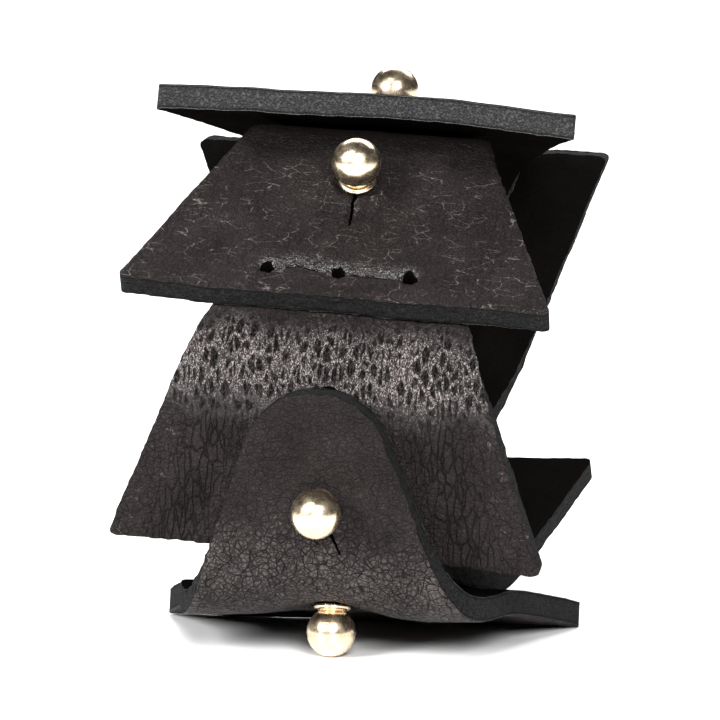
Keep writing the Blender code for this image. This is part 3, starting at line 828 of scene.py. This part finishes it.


# Colours by how light the surface is: places on the ramp and linear colours. The last grain stop is the
# light of the crackle ridges, partly wear and partly painted highlight.
GRAIN_COLOURS = ((0.10, (0.0028, 0.0021, 0.0020)), (0.45, (0.0140, 0.0114, 0.0110)),
                 (0.80, (0.085, 0.074, 0.072)), (1.0, (0.370, 0.318, 0.305)))
FLESH_COLOURS = ((0.30, (0.0012, 0.0011, 0.0010)), (0.70, (0.0040, 0.0035, 0.0031)))
EDGE_COLOURS = ((0.28, (0.003, 0.003, 0.003)), (0.56, (0.017, 0.017, 0.017)),
                (0.90, (0.085, 0.085, 0.084)))
GOLD_COLOURS = ((0.12, (0.40, 0.28, 0.17)), (0.38, (0.82, 0.65, 0.45)), (0.75, (0.90, 0.76, 0.56)))
FLOOR_COLOURS = ((0.0, (0.88, 0.88, 0.88)), (1.0, (0.90, 0.90, 0.90)))


def grain_material():
    """Black full-grain leather: fine pebbles, thin light creases, crackle where it is bent."""
    n = Nodes("leather_grain")
    flat = n.attribute("flat", "Vector")
    fold = n.attribute("fold", "Fac")
    stress_and_shade = n.attribute("stress_and_shade", "Fac")
    creased = n.attribute("creased", "Fac")
    lined = n.attribute("lined", "Fac")
    sheen = n.attribute("sheen", "Fac")

    # pebbles, the smaller ones on them, and the lines between both
    warped = n.warp(n.warp(flat, 0.30, 1.4), 1.3, 0.30)
    pebble = n.cells(n.scaled(warped, (0.85, 1.25, 0.0)), 1.0)
    small = n.cells(n.scaled(warped, (1.9, 2.2, 0.0)), 1.0)
    shown = n.ramp(n.noise(flat, 0.5, 3.0), 0.38, 0.62)
    big = n.maths("MULTIPLY", n.ramp(pebble, 0.0, 0.09), n.maths("MULTIPLY_ADD", shown, 0.6, 0.4))
    little = n.ramp(small, 0.0, 0.22)
    deep = n.maths("MULTIPLY", big, n.maths("MULTIPLY_ADD", creased, 0.9, 0.3))
    relaxed = n.maths("MULTIPLY_ADD", little, 0.35, deep)

    # crackle where a link is bent: a net of two sizes over fine ridges
    crackle = n.cells(n.warp(n.scaled(flat, (1.10, 0.52, 0.0)), 0.9, 0.70), 1.0)
    splits = n.cells(n.warp(n.scaled(flat, (2.9, 1.25, 0.0)), 1.6, 0.6), 1.0)
    ridges = n.noise(n.warp(n.scaled(flat, (1.5, 0.8, 1.0)), 1.2, 0.8), 5.2, 6.0, 0.78)
    fine_net = n.maths("MULTIPLY", n.ramp(splits, 0.17, 0.05), 0.45)
    net = n.maths("MAXIMUM", n.ramp(crackle, 0.24, 0.08), fine_net)
    cracked = n.maths("MULTIPLY_ADD", net, 2.4, n.maths("MULTIPLY", ridges, 3.6))

    # long runs where it is drawn along, beside the clasp
    runs = n.cells(n.warp(n.scaled(flat, (1.10, 0.34, 0.0)), 0.7, 1.1), 1.0)
    drawn = n.maths("MULTIPLY_ADD", n.ramp(runs, 0.0, 0.14), 1.1, n.maths("MULTIPLY", relaxed, 0.7))

    fine = n.noise(flat, 8.0, 4.0, 0.62)
    height = n.blend(fold, n.blend(stress_and_shade, relaxed, drawn), cracked)
    pores = n.bump(fine, 0.05 * MM, 0.6, n.bump(height, 0.17 * MM, 0.9))
    n.put(n.shader.inputs["Normal"], pores)
    n.put(n.shader.inputs["Coat Normal"], pores)

    # light marks: rims of the pebbles, scratches, specks, and wear with painted highlight on the crackle
    # ridges
    crease = n.maths("SUBTRACT", n.ramp(pebble, 0.0, 0.035), n.ramp(pebble, 0.035, 0.09))
    rim = n.maths("MULTIPLY", crease, n.ramp(n.noise(flat, 0.7, 3.0), 0.54, 0.70, 0.0, 0.7))
    scratch = n.cells(n.warp(n.scaled(flat, (0.36, 0.85, 0.0)), 0.5, 0.9), 1.0)
    line = n.maths("MULTIPLY", n.ramp(scratch, 0.026, 0.006), n.ramp(n.noise(flat, 0.45, 2.0), 0.47, 0.57))
    speck = n.ramp(n.noise(flat, 3.4, 2.0), 0.76, 0.82)
    light = n.maths("MAXIMUM", n.maths("MAXIMUM", rim, line), speck)
    # painted highlight with some wear: the crackle ridges are made light where the net is
    ridge_wear_and_highlight = n.maths("MULTIPLY", n.ramp(ridges, 0.44, 0.66), net)
    faint = n.maths("MULTIPLY", n.maths("MULTIPLY", light, 0.60), lined)
    marks = n.blend(fold, faint, n.maths("MULTIPLY", ridge_wear_and_highlight, 1.5))

    # how light it is: clouds, marks and small pebbles, less the dark bottoms of creases and cracks
    cloud = n.noise(flat, 0.16, 4.0, 0.6)
    shade = n.maths("MULTIPLY_ADD", marks, 0.60, n.maths("MULTIPLY", little, 0.16))
    shade = n.maths("MULTIPLY_ADD", cloud, 0.45, shade)
    shade = n.maths("MULTIPLY_ADD", n.maths("MULTIPLY", creased, creased), 0.20, shade)
    groove = n.maths("MULTIPLY", n.ramp(pebble, 0.060, 0.008), n.maths("MULTIPLY", creased, 0.72))
    open_flat = n.maths("SUBTRACT", 1.0, groove)
    # painted shade beside the clasp tongue: the colour is kept to 80 % there, and near black along the runs
    torn = n.ramp(runs, -0.03, 0.10, 0.0, 0.80)
    pits = n.blend(fold, n.blend(stress_and_shade, open_flat, torn), n.ramp(net, -0.06, 0.55))
    # painted shade under the top link: the upper front link's bend is darkened to 30 %
    pits = n.maths("MULTIPLY", pits, n.ramp(n.attribute("crest_shade", "Fac"), 0.0, 1.0, 1.0, 0.30))
    colour = n.colours(n.maths("MULTIPLY", shade, pits), GRAIN_COLOURS)
    n.put(n.shader.inputs["Base Color"], colour)

    dull = n.ramp(fine, 0.3, 0.7, 0.62, 0.50)
    shiny = n.ramp(ridges, 0.35, 0.65, 0.40, 0.24)
    n.put(n.shader.inputs["Roughness"], n.blend(fold, dull, shiny))
    glossy = n.maths("MULTIPLY", fold, n.ramp(net, 0.0, 1.0))
    n.put(n.shader.inputs["Coat Weight"], n.maths("MAXIMUM", glossy, sheen))
    n.shader.inputs["Coat Roughness"].default_value = 0.20
    n.shader.inputs["Specular IOR Level"].default_value = 0.05
    return n.material


def flesh_material():
    """The inner side: dull, short nap, brownish black."""
    n = Nodes("leather_flesh")
    flat = n.attribute("flat", "Vector")
    nap = n.noise(n.warp(flat, 1.2, 0.6), 3.2, 6.0, 0.72)
    patch = n.noise(flat, 0.16, 4.0, 0.6)
    n.put(n.shader.inputs["Normal"], n.bump(nap, 0.14 * MM, 0.8))
    share = n.maths("ADD", n.maths("MULTIPLY", nap, 0.6), n.maths("MULTIPLY", patch, 0.4))
    n.put(n.shader.inputs["Base Color"], n.colours(share, FLESH_COLOURS))
    n.put(n.shader.inputs["Roughness"], n.ramp(nap, 0.3, 0.7, 0.95, 0.82))
    n.shader.inputs["Specular IOR Level"].default_value = 0.0
    return n.material


def edge_material():
    """Raw cut edge: grey fibres along the cut, darker where the dye went in."""
    n = Nodes("leather_cut_edge")
    flat = n.attribute("flat", "Vector")
    fibre = n.noise(n.warp(n.scaled(flat, (0.75, 0.75, 1.7)), 1.2, 0.7), 3.6, 8.0, 0.78)
    speck = n.cells(n.scaled(flat, (0.9, 0.9, 1.3)), 4.2, 1.0, "F1")
    depth = n.add("ShaderNodeSeparateXYZ")
    n.put(depth.inputs[0], flat)
    level = n.maths("ABSOLUTE", n.maths("MULTIPLY", depth.outputs[2], 2 * MM / THICK))
    arris = n.maths("MULTIPLY", n.ramp(level, 0.86, 0.98), 1.9)
    soaked = n.maths("SUBTRACT", n.ramp(level, 0.62, 0.86), arris)
    rough = n.maths("ADD", n.maths("MULTIPLY", fibre, 0.75), n.maths("MULTIPLY", speck, 0.35))
    n.put(n.shader.inputs["Normal"], n.bump(rough, 0.30 * MM, 0.9))
    share = n.maths("SUBTRACT", rough, n.maths("MULTIPLY", soaked, 0.22))
    share = n.maths("SUBTRACT", share, n.maths("MULTIPLY", n.attribute("edge_darkening", "Fac"), 0.20))
    n.put(n.shader.inputs["Base Color"], n.colours(share, EDGE_COLOURS))
    n.put(n.shader.inputs["Roughness"], n.ramp(fibre, 0.3, 0.7, 0.95, 0.80))
    n.shader.inputs["Specular IOR Level"].default_value = 0.08
    return n.material


def gold_material():
    """Pale gold plate with a soft polish and small pits."""
    n = Nodes("pale_gold_plate")
    place = n.add("ShaderNodeTexCoord").outputs["Object"]
    pits = n.cells(place, 2600.0, 1.0, "F1")
    rub = n.noise(place, 900.0, 4.0, 0.6)
    pit = n.ramp(pits, 0.05, 0.16)
    sparse = n.ramp(n.noise(place, 700.0, 1.0), 0.58, 0.66)
    dent = n.maths("SUBTRACT", 1.0, n.maths("MULTIPLY", n.maths("SUBTRACT", 1.0, pit), sparse))
    n.put(n.shader.inputs["Normal"], n.bump(dent, 0.03 * MM, 0.5, n.bump(rub, 0.01 * MM, 0.35)))
    n.put(n.shader.inputs["Base Color"], n.colours(n.maths("MULTIPLY", dent, rub), GOLD_COLOURS))
    n.put(n.shader.inputs["Roughness"], n.ramp(rub, 0.3, 0.7, 0.20, 0.32))
    n.shader.inputs["Metallic"].default_value = 1.0
    return n.material


def floor_material():
    """A white sweep with a faint sheen."""
    n = Nodes("floor_white")
    place = n.add("ShaderNodeTexCoord").outputs["Object"]
    mottle = n.noise(place, 6.0, 2.0)
    n.put(n.shader.inputs["Base Color"], n.colours(mottle, FLOOR_COLOURS))
    n.put(n.shader.inputs["Roughness"], n.ramp(mottle, 0.0, 1.0, 0.20, 0.26))
    n.shader.inputs["Specular IOR Level"].default_value = 0.35
    return n.material


# ---- Studio ------------------------------------------------------------------------------------
TARGET = Vector((0.00076, -0.022994, 0.03672))
DISTANCE = 0.75
AZIMUTH = math.radians(10.7)
ELEVATION = math.radians(7.0)
SENSOR = 36.0
LENS = 312.375
LENS_SHIFT = 5 / 144
FLOOR_REACH = 6.0
FLOOR_CELLS = 24
WORLD_STRENGTH = 0.05
RING_MIDDLE = (0.0, 0.0, 0.03)
KEY_SIZE = (0.44, 0.46)
KEY_POWER = 32.0


def lay_floor(coat):
    mesh = bpy.data.meshes.new("floor")
    ticks = np.linspace(-FLOOR_REACH, FLOOR_REACH, FLOOR_CELLS + 1)
    points = [(a, b, 0.0) for a in ticks for b in ticks]
    row = FLOOR_CELLS + 1
    faces = []
    for i in range(FLOOR_CELLS):
        for j in range(FLOOR_CELLS):
            a = i * row + j
            faces.append((a, a + row, a + row + 1, a + 1))
    mesh.from_pydata(points, [], faces)
    mesh.materials.append(coat)
    floor = bpy.data.objects.new("floor", mesh)
    bpy.context.scene.collection.objects.link(floor)


def softbox(name, place, aim, size, power):
    """A rectangular area light that faces a point."""
    light = bpy.data.lights.new(name, "AREA")
    light.shape = "RECTANGLE"
    light.size, light.size_y = size
    light.energy = power
    item = bpy.data.objects.new(name, light)
    item.location = place
    item.rotation_euler = (Vector(aim) - Vector(place)).to_track_quat("-Z", "Y").to_euler()
    bpy.context.scene.collection.objects.link(item)
    return item


def set_camera():
    camera = bpy.data.cameras.new("camera")
    camera.sensor_width = SENSOR
    camera.lens = LENS
    camera.shift_x = LENS_SHIFT
    camera.clip_start = 0.01
    view = Vector((-math.sin(AZIMUTH) * math.cos(ELEVATION), math.cos(AZIMUTH) * math.cos(ELEVATION),
                   -math.sin(ELEVATION)))
    item = bpy.data.objects.new("camera", camera)
    item.location = TARGET - view * DISTANCE
    item.rotation_euler = view.to_track_quat("-Z", "Y").to_euler()
    bpy.context.scene.collection.objects.link(item)
    bpy.context.scene.camera = item


def studio(floor_coat):
    lay_floor(floor_coat)
    world = bpy.data.worlds.new("studio")
    world.use_nodes = True
    background = world.node_tree.nodes["Background"]
    background.inputs["Color"].default_value = (1.0, 1.0, 1.0, 1.0)
    background.inputs["Strength"].default_value = WORLD_STRENGTH
    bpy.context.scene.world = world

    # two keys, high enough for a dark shadow under the ring
    softbox("key_left", (-0.72, -0.92, 0.60), RING_MIDDLE, KEY_SIZE, KEY_POWER)
    softbox("key_right", (0.42, -1.10, 0.62), RING_MIDDLE, KEY_SIZE, KEY_POWER)
    softbox("high_front", (-0.25, -0.75, 1.05), RING_MIDDLE, (0.35, 0.30), 2.0)
    # the overhead light fills without a reflection, and the sweep lights the floor behind
    overhead = softbox("overhead", (0.0, 1.15, 1.50), (0.0, 0.45, 0.0), (1.8, 1.4), 66.0)
    overhead.visible_glossy = False
    softbox("sweep", (0.0, 2.8, 2.2), (0.0, 1.8, 0.0), (4.0, 2.0), 120.0)
    set_camera()
    bpy.context.scene.view_settings.view_transform = "Standard"


FIRST_SEED = 3
SEEDS_PER_LINK = 20


def main():
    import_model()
    paths, studs, places = lay_out()
    grain, flesh, edge, gold = grain_material(), flesh_material(), edge_material(), gold_material()

    for number, (name, path) in enumerate(paths.items()):
        leather = bend_link(name, path, places, FIRST_SEED + SEEDS_PER_LINK * number)
        for material in (grain, flesh, edge):
            leather.data.materials.append(material)
        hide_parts(f"{name}_link_panel", f"{name}_link_tongue")
        point, _, _ = path.frames([path.bend_from, path.bend_to])
        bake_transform(leather)

    head = turned("stud_head", stud_head_profile(), 96)
    screw = stud_screw("stud_screw")
    for mesh in (head, screw):
        mesh.materials.clear()
        mesh.materials.append(gold)
    for name, stud in studs.items():
        holder = STUD_HOLDER[name]
        for part, mesh in (("head", head), ("screw", screw)):
            item = bpy.data.objects.new(f"{name}_gold_{part}", mesh)
            item.matrix_world = places[holder] @ stud
            bpy.context.scene.collection.objects.link(item)
            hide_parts(f"{name}_stud_{part}")
            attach(item, holder)

    studio(floor_material())


main()
